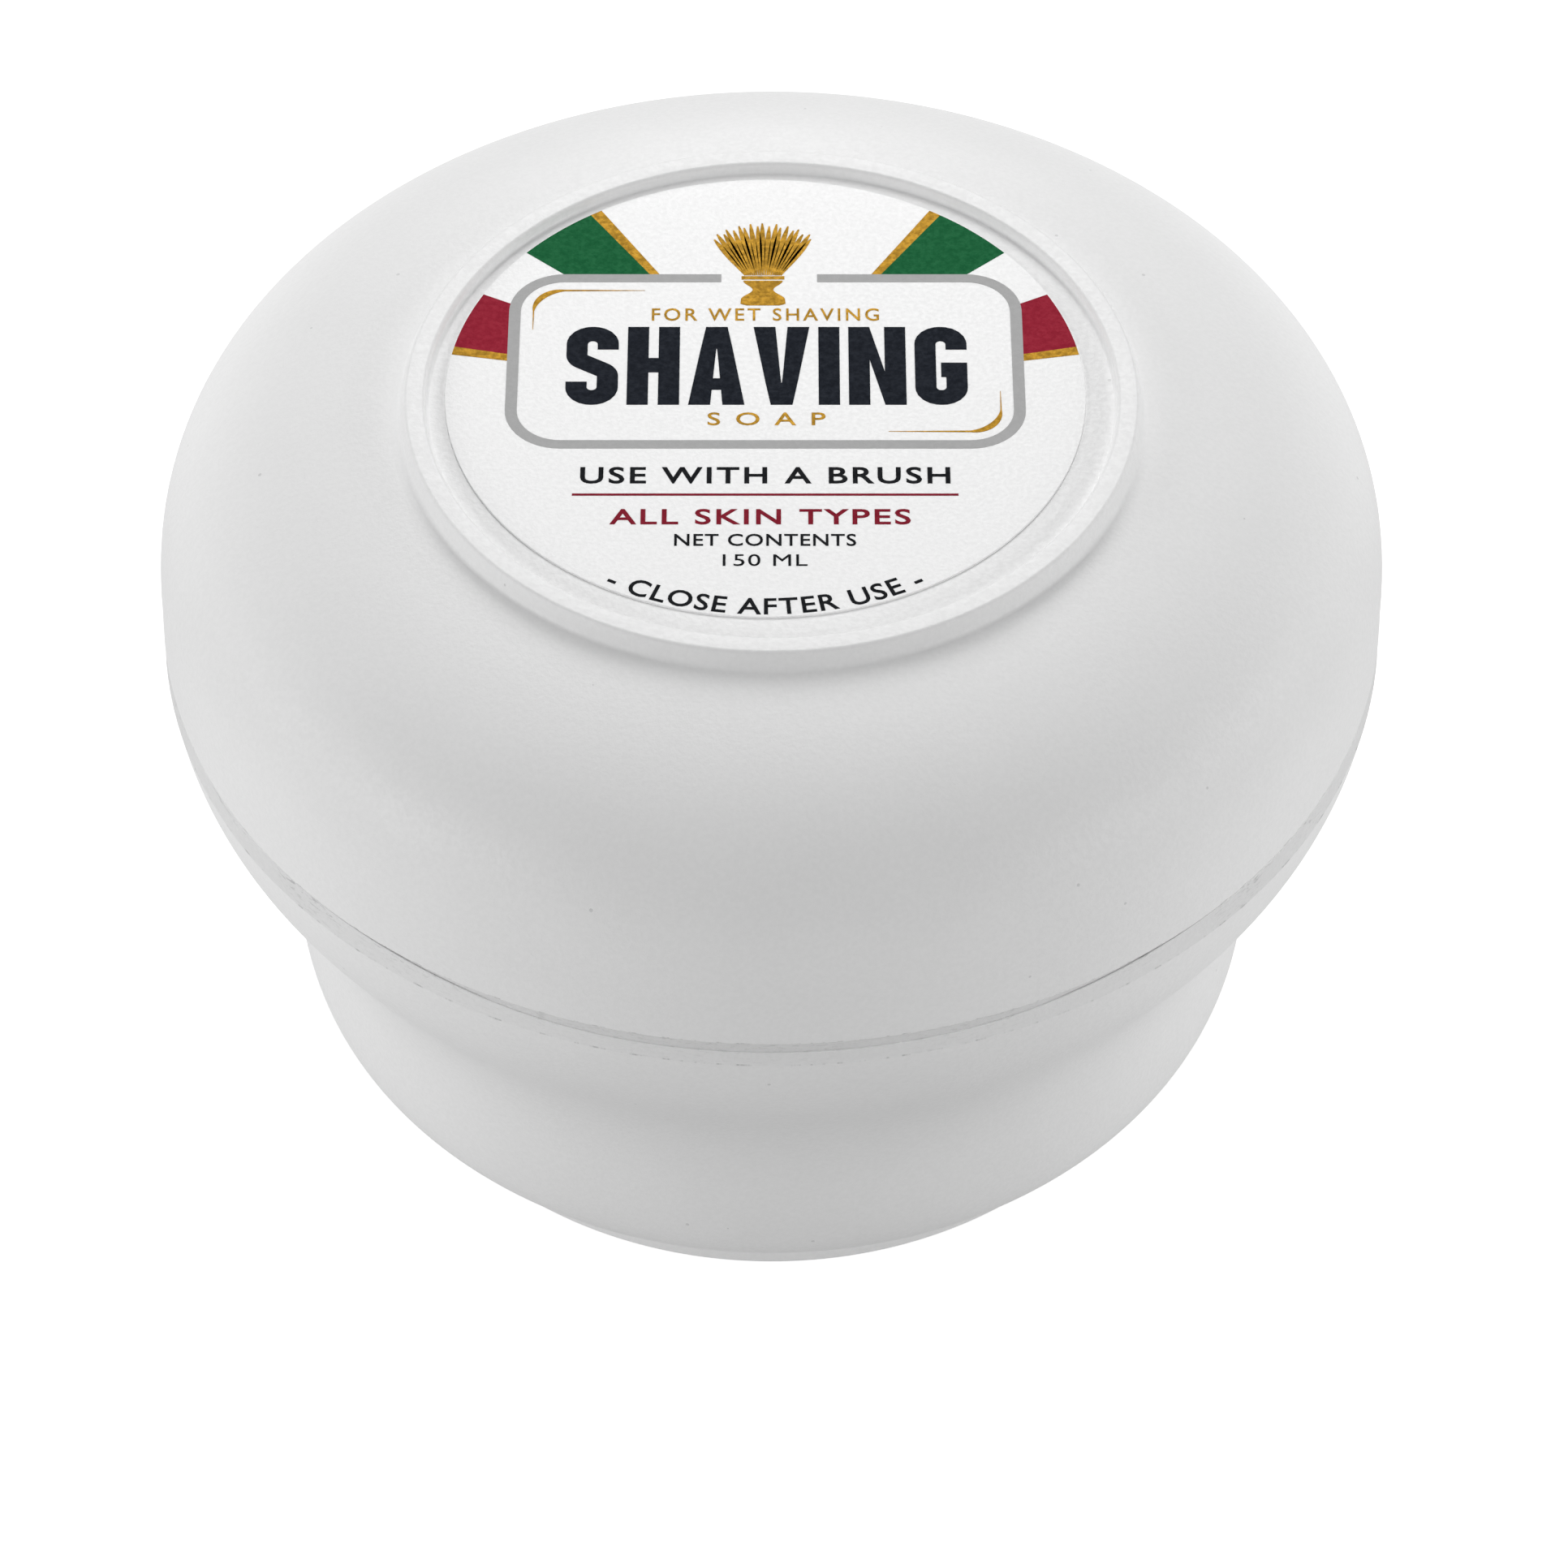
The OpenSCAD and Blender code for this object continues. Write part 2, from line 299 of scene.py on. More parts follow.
def add(tree, kind, *sources, result=0, **settings):
    """A node of a kind whose inputs, in order, take sockets or plain values. Gives one of its outputs."""
    made = tree.nodes.new("ShaderNode" + kind)
    for key, value in settings.items():
        setattr(made, key, value)
    for socket, source in zip(made.inputs, sources):
        if isinstance(source, bpy.types.NodeSocket):
            tree.links.new(source, socket)
        elif source is not None:
            socket.default_value = source
    return made.outputs[result]


def calc(tree, operation, *sources):
    """A Math node."""
    return add(tree, "Math", *sources, operation=operation)


def ramp(tree, value, low, high, to_low=0.0, to_high=1.0):
    """A value taken smoothly from one range to another, and held at its ends."""
    return add(tree, "MapRange", value, low, high, to_low, to_high, interpolation_type="SMOOTHSTEP")


def new_group(name, inputs, outputs):
    """A shader node group with named inputs, each with its start value, and named value outputs."""
    group = bpy.data.node_groups.new(name, "ShaderNodeTree")
    group.interface.new_socket("Vector", in_out="INPUT", socket_type="NodeSocketVector")
    for label, value in inputs.items():
        socket = group.interface.new_socket(label, in_out="INPUT", socket_type="NodeSocketFloat")
        socket.default_value = value
    for label in outputs:
        group.interface.new_socket(label, in_out="OUTPUT", socket_type="NodeSocketFloat")
    return group, group.nodes.new("NodeGroupInput").outputs, group.nodes.new("NodeGroupOutput").inputs


def use_group(tree, group, place, **values):
    """A placed group, fed with Object coordinates and with values for its inputs. Gives its outputs."""
    made = tree.nodes.new("ShaderNodeGroup")
    made.node_tree = group
    tree.links.new(place, made.inputs["Vector"])
    for label, value in values.items():
        made.inputs[label.replace("_", " ")].default_value = value
    return made.outputs


def new_material(name):
    """A material with its node tree, its Principled shader, and its Object coordinates."""
    material = bpy.data.materials.new(name)
    material.use_nodes = True
    tree = material.node_tree
    place = tree.nodes.new("ShaderNodeTexCoord").outputs["Object"]
    return material, tree, tree.nodes["Principled BSDF"], place


def tinted(tree, shader, colour, shade):
    """Base Color as a colour times a grey shade."""
    grey = add(tree, "CombineColor", shade, shade, shade)
    mixed = add(tree, "Mix", 1.0, None, None, None, None, None, (*colour, 1), grey, result=2,
                data_type="RGBA", blend_type="MULTIPLY")
    tree.links.new(mixed, shader.inputs["Base Color"])


def bumped(tree, shader, height, depth, strength=1.0):
    """A Bump node from a height, where depth is the height of 1 in metres."""
    bump = tree.nodes.new("ShaderNodeBump")
    bump.inputs["Strength"].default_value = strength
    bump.inputs["Distance"].default_value = depth
    tree.links.new(height, bump.inputs["Height"])
    tree.links.new(bump.outputs["Normal"], shader.inputs["Normal"])


def fine_grain():
    """The grain of a spark-eroded mould or a coated print, for any satin surface: Grain is even noise of
    one size, Cloud is slow uneven tone, and Specks are sparse dots of dust and resin."""
    group, given, out = new_group("fine_grain", {"Grain Size": 0.0004, "Speck Spacing": 0.0035},
                                  ("Grain", "Cloud", "Specks"))
    scale = calc(group, "DIVIDE", 1.0, given["Grain Size"])
    grain = add(group, "TexNoise", given["Vector"], None, scale, 2.5, 0.6)
    group.links.new(ramp(group, grain, 0.25, 0.75), out["Grain"])
    cloud = add(group, "TexNoise", given["Vector"], None, 110.0, 2.0, 0.5)
    group.links.new(ramp(group, cloud, 0.25, 0.75), out["Cloud"])
    per_metre = calc(group, "DIVIDE", 1.0, given["Speck Spacing"])
    cells = add(group, "TexVoronoi", given["Vector"], None, per_metre)
    lot = add(group, "SeparateColor", add(group, "TexVoronoi", given["Vector"], None, per_metre, result=1))
    size = ramp(group, lot, 0.5, 1.0, 0.0, 0.045)
    group.links.new(calc(group, "LESS_THAN", cells, size), out["Specks"])
    return group


def rim_wear():
    """Marks on a moulded rim between two heights: Band is the whole band, greyed partly by handling wear
    and partly by painted shade, which darkens it from the front towards the sides and back. Scuffs are
    short scratches and grime that run round it, Flecks are tiny light burrs, Seam is a broken dark line at
    its lower height, and Groove is painted shade in the shadow line under the lid."""
    group, given, out = new_group("rim_wear", {"Low": 0.0, "High": 1.0},
                                  ("Band Wear And Shade", "Scuffs", "Flecks", "Seam", "Groove Shade"))
    x = add(group, "SeparateXYZ", given["Vector"], result=0)
    y = add(group, "SeparateXYZ", given["Vector"], result=1)
    z = add(group, "SeparateXYZ", given["Vector"], result=2)
    round_it = calc(group, "MULTIPLY", calc(group, "ARCTAN2", y, x), RIM_R * MM)
    above = ramp(group, calc(group, "SUBTRACT", z, given["Low"]), -0.00005, 0.00008)
    below = ramp(group, calc(group, "SUBTRACT", given["High"], z), -0.00005, 0.0001)
    reach = add(group, "VectorMath", add(group, "CombineXYZ", x, y, 0.0), result=1, operation="LENGTH")
    outermost = ramp(group, reach, (RIM_R - 0.3) * MM, (RIM_R - 0.15) * MM)
    band = calc(group, "MULTIPLY", outermost, calc(group, "MULTIPLY", above, below))
    # Groove: painted shade in the shadow line under the lid's edge, just inside the band's outer face.
    inner = ramp(group, reach, (RIM_R - 0.13) * MM, (RIM_R - 0.04) * MM, 1.0, 0.0)
    top = ramp(group, z, (RIM_MM + 0.1) * MM, (RIM_MM + 0.3) * MM, 1.0, 0.0)
    bottom = ramp(group, z, (RIM_MM - 1.3) * MM, (RIM_MM - 1.2) * MM)
    inner = calc(group, "MULTIPLY", inner, calc(group, "MULTIPLY", top, bottom))
    group.links.new(inner, out["Groove Shade"])
    # Painted shade: the band is darkened more from the front towards the sides and back.
    side_and_back_shade = ramp(group, y, -0.9 * RIM_R * MM, -0.6 * RIM_R * MM, 0.35, 1.0)
    band = calc(group, "MULTIPLY", band, side_and_back_shade)
    group.links.new(band, out["Band Wear And Shade"])
    long_way = add(group, "CombineXYZ", calc(group, "MULTIPLY", round_it, 1100.0),
                   calc(group, "MULTIPLY", z, 4200.0), 0.0)
    scratch = add(group, "TexNoise", long_way, None, 1.0, 3.0, 0.7)
    patch = add(group, "TexNoise", given["Vector"], None, 130.0, 2.0, 0.5)
    scuffs = calc(group, "MULTIPLY", ramp(group, scratch, 0.56, 0.61), ramp(group, patch, 0.42, 0.6))
    upper = ramp(group, z, calc(group, "SUBTRACT", given["High"], 0.0016), given["High"], 0.35, 1.0)
    scuffs = calc(group, "MULTIPLY", scuffs, upper)
    group.links.new(calc(group, "MULTIPLY", scuffs, band), out["Scuffs"])
    flecks = add(group, "TexVoronoi", given["Vector"], None, 800.0)
    lot = add(group, "SeparateColor", add(group, "TexVoronoi", given["Vector"], None, 800.0, result=1))
    flecks = calc(group, "LESS_THAN", flecks, ramp(group, lot, 0.6, 1.0, 0.0, 0.09))
    near = ramp(group, calc(group, "SUBTRACT", z, given["Low"]), -0.0012, 0.0, 0.0, 1.0)
    near = calc(group, "MULTIPLY", calc(group, "MULTIPLY", near, outermost), below)
    group.links.new(calc(group, "MULTIPLY", flecks, near), out["Flecks"])
    wander = add(group, "TexNoise", add(group, "CombineXYZ", calc(group, "MULTIPLY", round_it, 420.0)),
                 None, 1.0, 3.0, 0.6)
    line = calc(group, "SUBTRACT", z, given["Low"])
    line = calc(group, "ABSOLUTE", calc(group, "ADD", line, calc(group, "MULTIPLY", wander, -0.00012)))
    line = calc(group, "MULTIPLY", outermost, ramp(group, line, 0.00004, 0.00011, 1.0, 0.0))
    broken = add(group, "TexNoise", add(group, "CombineXYZ", calc(group, "MULTIPLY", round_it, 700.0), 7.0),
                 None, 1.0, 3.0, 0.7)
    group.links.new(calc(group, "MULTIPLY", line, ramp(group, broken, 0.5, 0.64)), out["Seam"])
    return group


grain_group, wear_group = fine_grain(), rim_wear()


def moulded_white(name, low, high, band_shade, groove_shade):
    """White polypropylene with a fine satin grain, and a rim band between two heights that handling has
    greyed and painted shade darkens, with painted shade also in the groove under the lid. Shade is one
    minus the grain, cloud, specks, wear and painted shade, each times its strength."""
    material, tree, shader, place = new_material(name)
    grain = use_group(tree, grain_group, place, Grain_Size=0.00042, Speck_Spacing=0.0034)
    wear = use_group(tree, wear_group, place, Low=low * MM, High=high * MM)
    shade = calc(tree, "MULTIPLY_ADD", grain["Grain"], 0.034, 0.966)
    shade = calc(tree, "MULTIPLY_ADD", grain["Cloud"], 0.012, shade)
    shade = calc(tree, "MULTIPLY_ADD", grain["Specks"], -0.2, shade)
    # The band's grey: part handling wear, part painted shade that is stronger round the sides and back.
    shade = calc(tree, "MULTIPLY_ADD", wear["Band Wear And Shade"], -band_shade, shade)
    shade = calc(tree, "MULTIPLY_ADD", wear["Scuffs"], -0.34, shade)
    shade = calc(tree, "MULTIPLY_ADD", wear["Flecks"], 0.09, shade)
    shade = calc(tree, "MULTIPLY_ADD", wear["Seam"], -0.32, shade)
    # Painted shade in the shadow line under the lid's edge.
    shade = calc(tree, "MULTIPLY_ADD", wear["Groove Shade"], -groove_shade, shade)
    tinted(tree, shader, (0.81, 0.81, 0.81), shade)
    rough = calc(tree, "MULTIPLY_ADD", grain["Grain"], -0.1, 0.55)
    rough = calc(tree, "MULTIPLY_ADD", wear["Band Wear And Shade"], 0.12, rough)
    tree.links.new(rough, shader.inputs["Roughness"])
    height = calc(tree, "MULTIPLY_ADD", wear["Scuffs"], -1.5, grain["Grain"])
    bumped(tree, shader, height, 0.000012)
    shader.inputs["IOR"].default_value = 1.49
    shader.inputs["Specular IOR Level"].default_value = 0.45
    return material


bowl_plastic = moulded_white("bowl_plastic", seam, RIM_MM - 0.05, 0.12, 0.09)
for piece in (bowl, bowl_thread):
    piece.data.materials.append(bowl_plastic)

# ---- the soap ----
# A cream-white cake poured warm into the bowl, about 150 ml of it. Its surface sinks a little as it sets,
# and clings to the wall.
SOAP_Z = 34.6
SOAP_GAP = 0.05
soap_wall = shifted(np.vstack([whole_belly, flare[1:]]), BOWL_T + SOAP_GAP)
soap_wall = soap_wall[(soap_wall[:, 0] < NECK_R - SOAP_GAP) & (soap_wall[:, 1] < SOAP_Z - 1)]
edge = NECK_R - SOAP_GAP
soap_profile = np.vstack([
    [[0, BASE_Z + BOWL_T + SOAP_GAP]],
    soap_wall,
    cubic((edge, SOAP_Z + 0.7), (edge - 1.6, SOAP_Z + 0.1), (edge - 4, SOAP_Z), (edge - 9, SOAP_Z), 16),
    [[edge - 16, SOAP_Z - 0.05], [edge - 24, SOAP_Z - 0.1], [0, SOAP_Z - 0.15]],
])
soap = turned("soap_cake", soap_profile, "bowl")
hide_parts("soap")
cake, tree, shader, place = new_material("milled_soap")
swirl = add(tree, "TexNoise", place, None, 60.0, 4.0, 0.55)
pits = add(tree, "TexVoronoi", place, None, 900.0)
pits = calc(tree, "MULTIPLY", ramp(tree, pits, 0.1, 0.3, 1.0, 0.0), ramp(tree, swirl, 0.5, 0.6))
grain = use_group(tree, grain_group, place, Grain_Size=0.0009, Speck_Spacing=0.006)
shade = calc(tree, "MULTIPLY_ADD", ramp(tree, swirl, 0.3, 0.7), 0.06, 0.93)
shade = calc(tree, "MULTIPLY_ADD", pits, -0.08, shade)
shade = calc(tree, "MULTIPLY_ADD", grain["Grain"], 0.02, shade)
tinted(tree, shader, (0.86, 0.83, 0.75), shade)
tree.links.new(calc(tree, "MULTIPLY_ADD", swirl, 0.25, 0.25), shader.inputs["Roughness"])
bumped(tree, shader, calc(tree, "MULTIPLY_ADD", pits, -0.6, swirl), 0.0002)
shader.inputs["Subsurface Weight"].default_value = 0.2
shader.inputs["Subsurface Radius"].default_value = (1.0, 0.8, 0.6)
shader.inputs["Subsurface Scale"].default_value = 0.003
soap.data.materials.append(cake)

# ---- the sticker under the bowl ----
# A round sticker of coated paper, pressed on inside the foot ring, which keeps it off the table. Its print
# comes with the label's.
STICKER_R, LABEL_T = 24, 0.15
sticker = turned("base_sticker", rounded([(0, BASE_Z - LABEL_T, 0), (STICKER_R, BASE_Z - LABEL_T, 0.04),
                                          (STICKER_R, BASE_Z, 0), (0, BASE_Z, 0)]), "bowl")
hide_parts("base_label")
paper, tree, shader, place = new_material("coated_paper")
fibres = add(tree, "TexNoise", place, None, 1800.0, 4.0, 0.7)
grain = use_group(tree, grain_group, place, Grain_Size=0.0003, Speck_Spacing=0.005)
shade = calc(tree, "MULTIPLY_ADD", grain["Grain"], 0.02, 0.96)
shade = calc(tree, "MULTIPLY_ADD", fibres, 0.03, shade)
tinted(tree, shader, (0.85, 0.85, 0.83), shade)
tree.links.new(calc(tree, "MULTIPLY_ADD", fibres, 0.2, 0.4), shader.inputs["Roughness"])
bumped(tree, shader, fibres, 0.00001)
sticker.data.materials.append(paper)

# ---- the liner ----
# A disc of closed-cell foam, a millimetre thick, pressed up into the lid. The neck's rim bites a shallow
# ring into it.
LINER_R, LINER_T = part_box("liner")[1].x / MM, 1
liner_z = NECK_Z + 0.1
bitten = NECK_R + NECK_T / 2
liner_profile = np.vstack([
    rounded([(0, liner_z, 0), (bitten - 1.1, liner_z, 0.3), (bitten - 0.6, liner_z + 0.12, 0.3),
             (bitten + 0.6, liner_z + 0.12, 0.3), (bitten + 1.1, liner_z, 0.3), (LINER_R, liner_z, 0.2),
             (LINER_R, liner_z + LINER_T, 0.2), (0, liner_z + LINER_T, 0)])])
liner = turned("liner_disc", liner_profile, "liner")
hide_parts("liner")
foam, tree, shader, place = new_material("closed_cell_foam")
cells = add(tree, "TexVoronoi", place, None, 3200.0)
grain = use_group(tree, grain_group, place, Grain_Size=0.0006, Speck_Spacing=0.006)
shade = calc(tree, "MULTIPLY_ADD", cells, -0.07, 0.97)
shade = calc(tree, "MULTIPLY_ADD", grain["Cloud"], 0.03, shade)
tinted(tree, shader, (0.8, 0.8, 0.78), shade)
tree.links.new(calc(tree, "MULTIPLY_ADD", cells, 0.3, 0.6), shader.inputs["Roughness"])
bumped(tree, shader, cells, 0.00006)
liner.data.materials.append(foam)

# ---- the lid ----
# The second polypropylene moulding: a dome that ends in a raised ring around the label's recess. Inside
# are the liner's seat and a plain wall that carries the thread.
DOME_CORE, DOME_R, DOME_BASE, DOME_H, DOME_POWER = 17.8, 49.9, 2.9, 17.95, 2.7
LID_T = 1.6
RING_R, RING_LEAN, RING_IN_R = 29.8, 0.45, 27.6
RING_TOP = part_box("lid")[1].z / MM
RECESS = 0.9
LID_BORE = NECK_R + NECK_T + THREAD_DEPTH + 0.3
LID_THREAD_TURN, RIDGES_APART = 80, 1.6     # where its ridge starts, and how far it hangs under the neck's
SEAT_R, seat_z = NECK_R + 0.2, NECK_Z + 0.1 + LINER_T + 0.1
recess_z = RING_TOP - RECESS
ceiling_z = recess_z - LID_T
dome = super_arc(DOME_CORE, RIM_MM + DOME_BASE, DOME_R, DOME_H, DOME_POWER, RING_R + 0.8, 72)
dome_inside = shifted(dome, LID_T)
dome_inside = dome_inside[dome_inside[:, 0] < SEAT_R][::-1]
lid_profile = np.vstack([
    [[0, ceiling_z], [RING_IN_R - 2, ceiling_z]],
    dome_inside,
    rounded([(SEAT_R, dome_inside[-1, 1] - 0.3, 0), (SEAT_R, seat_z, 0.2), (LID_BORE, seat_z, 0.2),
             (LID_BORE, RIM_MM, EDGE), (RIM_R, RIM_MM, 0.1), (RIM_R - 0.04, RIM_MM + 1.5, 0)]),
    dome,
    rounded([(RING_R + 0.75, dome[-1, 1] + 0.01, 0), (RING_R, dome[-1, 1] + 0.2, 0.6),
             (RING_R - RING_LEAN, RING_TOP, 0.35), (RING_IN_R, RING_TOP, 0.35),
             (RING_IN_R, recess_z, 0.3), (RING_IN_R - 1, recess_z, 0)], 9),
    [[0, recess_z]],
])
lid = turned("lid_moulding", lid_profile, "lid")
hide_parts("lid")
lid_thread_z = RIM_MM + THREAD_RISE - RIDGES_APART + THREAD_LEAD * LID_THREAD_TURN / 360
lid_thread = screw_ridge("lid_thread", LID_BORE, -1, LID_THREAD_TURN, lid_thread_z, "lid")
lid_plastic = moulded_white("lid_plastic", RIM_MM + 0.02, RIM_MM + 0.12, 0.02, 0.0)
for piece in (lid, lid_thread):
    piece.data.materials.append(lid_plastic)

# ---- the label ----
# A round satin film with a fine grain, stuck into the recess inside the lid's ring. It was put on by hand
# and sits a little off centre.
LABEL_R = 25.65
label_x, label_y = -0.5, 0.85
label_top = recess_z + LABEL_T
label = turned("label_film", rounded([(0, recess_z, 0), (LABEL_R, recess_z, 0), (LABEL_R, label_top, 0.05),
                                      (0, label_top, 0)]), "lid")
label.data.transform(Matrix.Translation((label_x * MM, label_y * MM, 0)))
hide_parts("top_label")
film, tree, shader, place = new_material("satin_film")
grain = use_group(tree, grain_group, place, Grain_Size=0.00036, Speck_Spacing=0.009)
shade = calc(tree, "MULTIPLY_ADD", grain["Grain"], 0.045, 0.955)
shade = calc(tree, "MULTIPLY_ADD", grain["Specks"], -0.1, shade)
tinted(tree, shader, (0.9, 0.9, 0.9), shade)
tree.links.new(calc(tree, "MULTIPLY_ADD", grain["Grain"], -0.12, 0.56), shader.inputs["Roughness"])
bumped(tree, shader, grain["Grain"], 0.000012)
shader.inputs["Specular IOR Level"].default_value = 0.35
label.data.materials.append(film)


# ---- the label's coloured panels ----
# Grey, green, red and gold inks, screen-printed on the film in layers a few hundredths of a millimetre
# thick: a plain plaque with round corners, and bands that fan out from behind it to the label's edge.
INK_T = 0.02


def stripe(one_edge, other_edge, closed=False):
    """A thin slab between two matching edges, which run so that the first is on the right."""
    n = len(one_edge)
    flat = np.vstack([one_edge, other_edge])
    points = np.vstack([np.column_stack([flat, np.full(2 * n, z)]) for z in (INK_T, -INK_T)])
    i = np.arange(n if closed else n - 1)
    k = (i + 1) % n
    top = np.column_stack([i, k, k + n, i + n])
    faces = np.vstack([top, top[:, ::-1] + 2 * n,
                       np.column_stack([k, i, i + 2 * n, k + 2 * n]),
                       np.column_stack([i + n, k + n, k + 3 * n, i + 3 * n])]).tolist()
    if not closed:
        faces += [[0, n, 3 * n, 2 * n], [2 * n - 1, n - 1, 3 * n - 1, 4 * n - 1]]
    return points, faces


def stroke(path, width, closed=False):
    """A line of a given width along a path, with mitred corners. Each edge point is the path's point plus
    half the width along its mitre, the mean of the two sides' normals over its own length squared."""
    path = np.asarray(path, float)
    step = np.diff(np.vstack([path, path[:1]]) if closed else path, axis=0)
    normal = np.column_stack([-step[:, 1], step[:, 0]]) / np.linalg.norm(step, axis=1)[:, None]
    before = np.roll(normal, 1, axis=0) if closed else np.vstack([normal[:1], normal])
    after = normal if closed else np.vstack([normal, normal[-1:]])
    mitre = (before + after) / 2
    mitre /= (mitre ** 2).sum(axis=1)[:, None]
    half = np.broadcast_to(np.asarray(width) / 2, len(path))[:, None]
    return stripe(path - half * mitre, path + half * mitre, closed)


def print_on(name, parts, ink, body="lid", middle=None):
    """One object of printed parts, each a (points, faces) pair in millimetres about the label's middle."""
    if middle is None:
        middle = (label_x, label_y, label_top)
    points, faces, count = [], [], 0
    for part_points, part_faces in parts:
        points.append(np.asarray(part_points) + middle)
        faces += [[v + count for v in face] for face in part_faces]
        count += len(part_points)
    piece = solid(name, np.vstack(points) * MM, faces, body)
    piece.data.materials.append(ink)
    return piece


def ink(name, colour, mottle, roughness=0.62, metal=0.0):
    """A printing ink of a linear colour, laid over the film's grain. Its shade is one plus the grain about
    its middle, times the mottle."""
    material, tree, shader, place = new_material(name)
    grain = use_group(tree, grain_group, place, Grain_Size=0.0004, Speck_Spacing=0.009)
    shade = calc(tree, "MULTIPLY_ADD", grain["Grain"], mottle, 1 - mottle / 2)
    tinted(tree, shader, colour, shade)
    tree.links.new(calc(tree, "MULTIPLY_ADD", grain["Grain"], -0.15, roughness), shader.inputs["Roughness"])
    bumped(tree, shader, grain["Grain"], 0.000012)
    shader.inputs["Metallic"].default_value = metal
    shader.inputs["Specular IOR Level"].default_value = 0.03
    return material


PLAQUE_X, PLAQUE_LOW, PLAQUE_HIGH, PLAQUE_ROUND, PLAQUE_LINE = 20.3, -6.3, 13.4, 4, 0.95
plaque_y = (PLAQUE_LOW + PLAQUE_HIGH) / 2


def plaque_edge(angle, outset):
    """The radius at which a ray from the label's middle leaves the plaque, outset beyond its line. It
    halves the interval on the rounded rectangle's distance, |max(q, 0)| + min(max(q), 0) - round."""
    near, far = np.zeros_like(angle), np.full_like(angle, 40.0)
    for _ in range(30):
        r = (near + far) / 2
        q_x = np.abs(r * np.cos(angle)) - (PLAQUE_X - PLAQUE_ROUND)
        q_y = np.abs(r * np.sin(angle) - plaque_y) - (PLAQUE_HIGH - plaque_y - PLAQUE_ROUND)
        away = (np.hypot(np.maximum(q_x, 0), np.maximum(q_y, 0))
                + np.minimum(np.maximum(q_x, q_y), 0) - PLAQUE_ROUND)
        near, far = np.where(away < outset, r, near), np.where(away < outset, far, r)
    return near


def panel(start, end):
    """A band between two angles, in degrees, from the plaque's line out to the label's edge, with its
    mirror image on the other side."""
    angle = np.radians(np.linspace(start, end, 25))
    inner = plaque_edge(angle, PLAQUE_LINE / 2)
    way = np.column_stack([np.cos(angle), np.sin(angle)])
    edges = way * inner[:, None], way * (LABEL_R - 0.06)
    flip = np.array([-1, 1])
    return [stripe(edges[1], edges[0]), stripe(edges[0] * flip, edges[1] * flip)]


def gap_path():
    """The plaque's line as a path that starts and ends on its upper side, where the emblem stands."""
    turn = np.radians(np.linspace(0, 90, 13))
    corner = [np.column_stack([np.cos(turn + k * np.pi / 2), np.sin(turn + k * np.pi / 2)]) * PLAQUE_ROUND
              for k in range(4)]
    x, high, low = PLAQUE_X - PLAQUE_ROUND, PLAQUE_HIGH - PLAQUE_ROUND, PLAQUE_LOW + PLAQUE_ROUND
    return np.vstack([[[-3.6, PLAQUE_HIGH]], corner[1] + (-x, high), corner[2] + (-x, low),
                      corner[3] + (x, low), corner[0] + (x, high), [[4.2, PLAQUE_HIGH]]])


grey_ink = ink("grey_ink", (0.42, 0.42, 0.42), 0.06)
green_ink = ink("green_ink", (0.003, 0.115, 0.035), 0.3)
red_ink = ink("red_ink", (0.3, 0.01, 0.03), 0.22)
red_text_ink = ink("red_text_ink", (0.22, 0.005, 0.02), 0.22)
gold_ink = ink("gold_ink", (0.36, 0.19, 0.012), 0.5, 0.55, 0.15)
navy_ink = ink("navy_ink", (0.006, 0.009, 0.016), 0.5)
black_ink = ink("black_ink", (0.003, 0.004, 0.006), 0.4)
print_on("plaque_print", [stroke(gap_path(), PLAQUE_LINE)], grey_ink)
print_on("green_print", panel(124.2, 139.8), green_ink)
print_on("red_print", panel(153.5, 168.4), red_ink)
gold_parts = panel(121.9, 124.2) + panel(168.4, 170.5)

# ---- the emblem ----
# A shaving brush in gold ink, standing over the gap in the plaque's line: a fan of tapered bristles, a
# ferrule and a turned handle.
EMBLEM_X, ROOTS_Y, FERRULE_Y, HANDLE_TOP, HANDLE_LOW = -0.2, 13.75, 13.45, 13.1, 10.1
SIDE_BRISTLES = 9
t = np.linspace(0, 1, 9)
for i in range(-SIDE_BRISTLES, SIDE_BRISTLES + 1):
    lean = np.radians(3.3 * i + 0.6 * (i % 3 - 1))
    long = 6.4 - 0.012 * i ** 2 - 0.35 * (i % 2)
    root = np.array([EMBLEM_X + 0.16 * i, ROOTS_Y])
    bristle = root + long * t[:, None] * np.array([np.sin(lean), np.cos(lean)])
    gold_parts.append(stroke(bristle, 0.12 + 0.36 * np.sin(np.pi * t ** 1.4) ** 0.8))
down = np.linspace(0, 1, 31)
height = HANDLE_TOP + (HANDLE_LOW - HANDLE_TOP) * down
waist = np.sin(np.pi * np.clip(down / 0.75, 0, 1)) ** 2
half = (1.6 - 0.85 * waist + 0.25 * down) * np.clip((1 - down) * 8 + 0.5, 0, 1) ** 0.5
gold_parts.append(stripe(np.column_stack([EMBLEM_X - half, height]),
                         np.column_stack([EMBLEM_X + half, height])))
gold_parts.append(stroke([(EMBLEM_X - 1.75, FERRULE_Y), (EMBLEM_X + 1.75, FERRULE_Y)], 0.4))


# ---- the word on the plaque ----
# Heavy plain capitals with round corners, printed in navy ink. Most are built from strokes of one width,
# and A and V from one slanted slab each.
WORD_Y, TALL, HEAVY = -1.7, 9.2, 1.7
BEND = 1.2
side, low, top = 3.35, HEAVY / 2, TALL - HEAVY / 2


def upright(x):
    """The upright stroke of a letter."""
    return stroke([(x, 0), (x, TALL)], HEAVY)


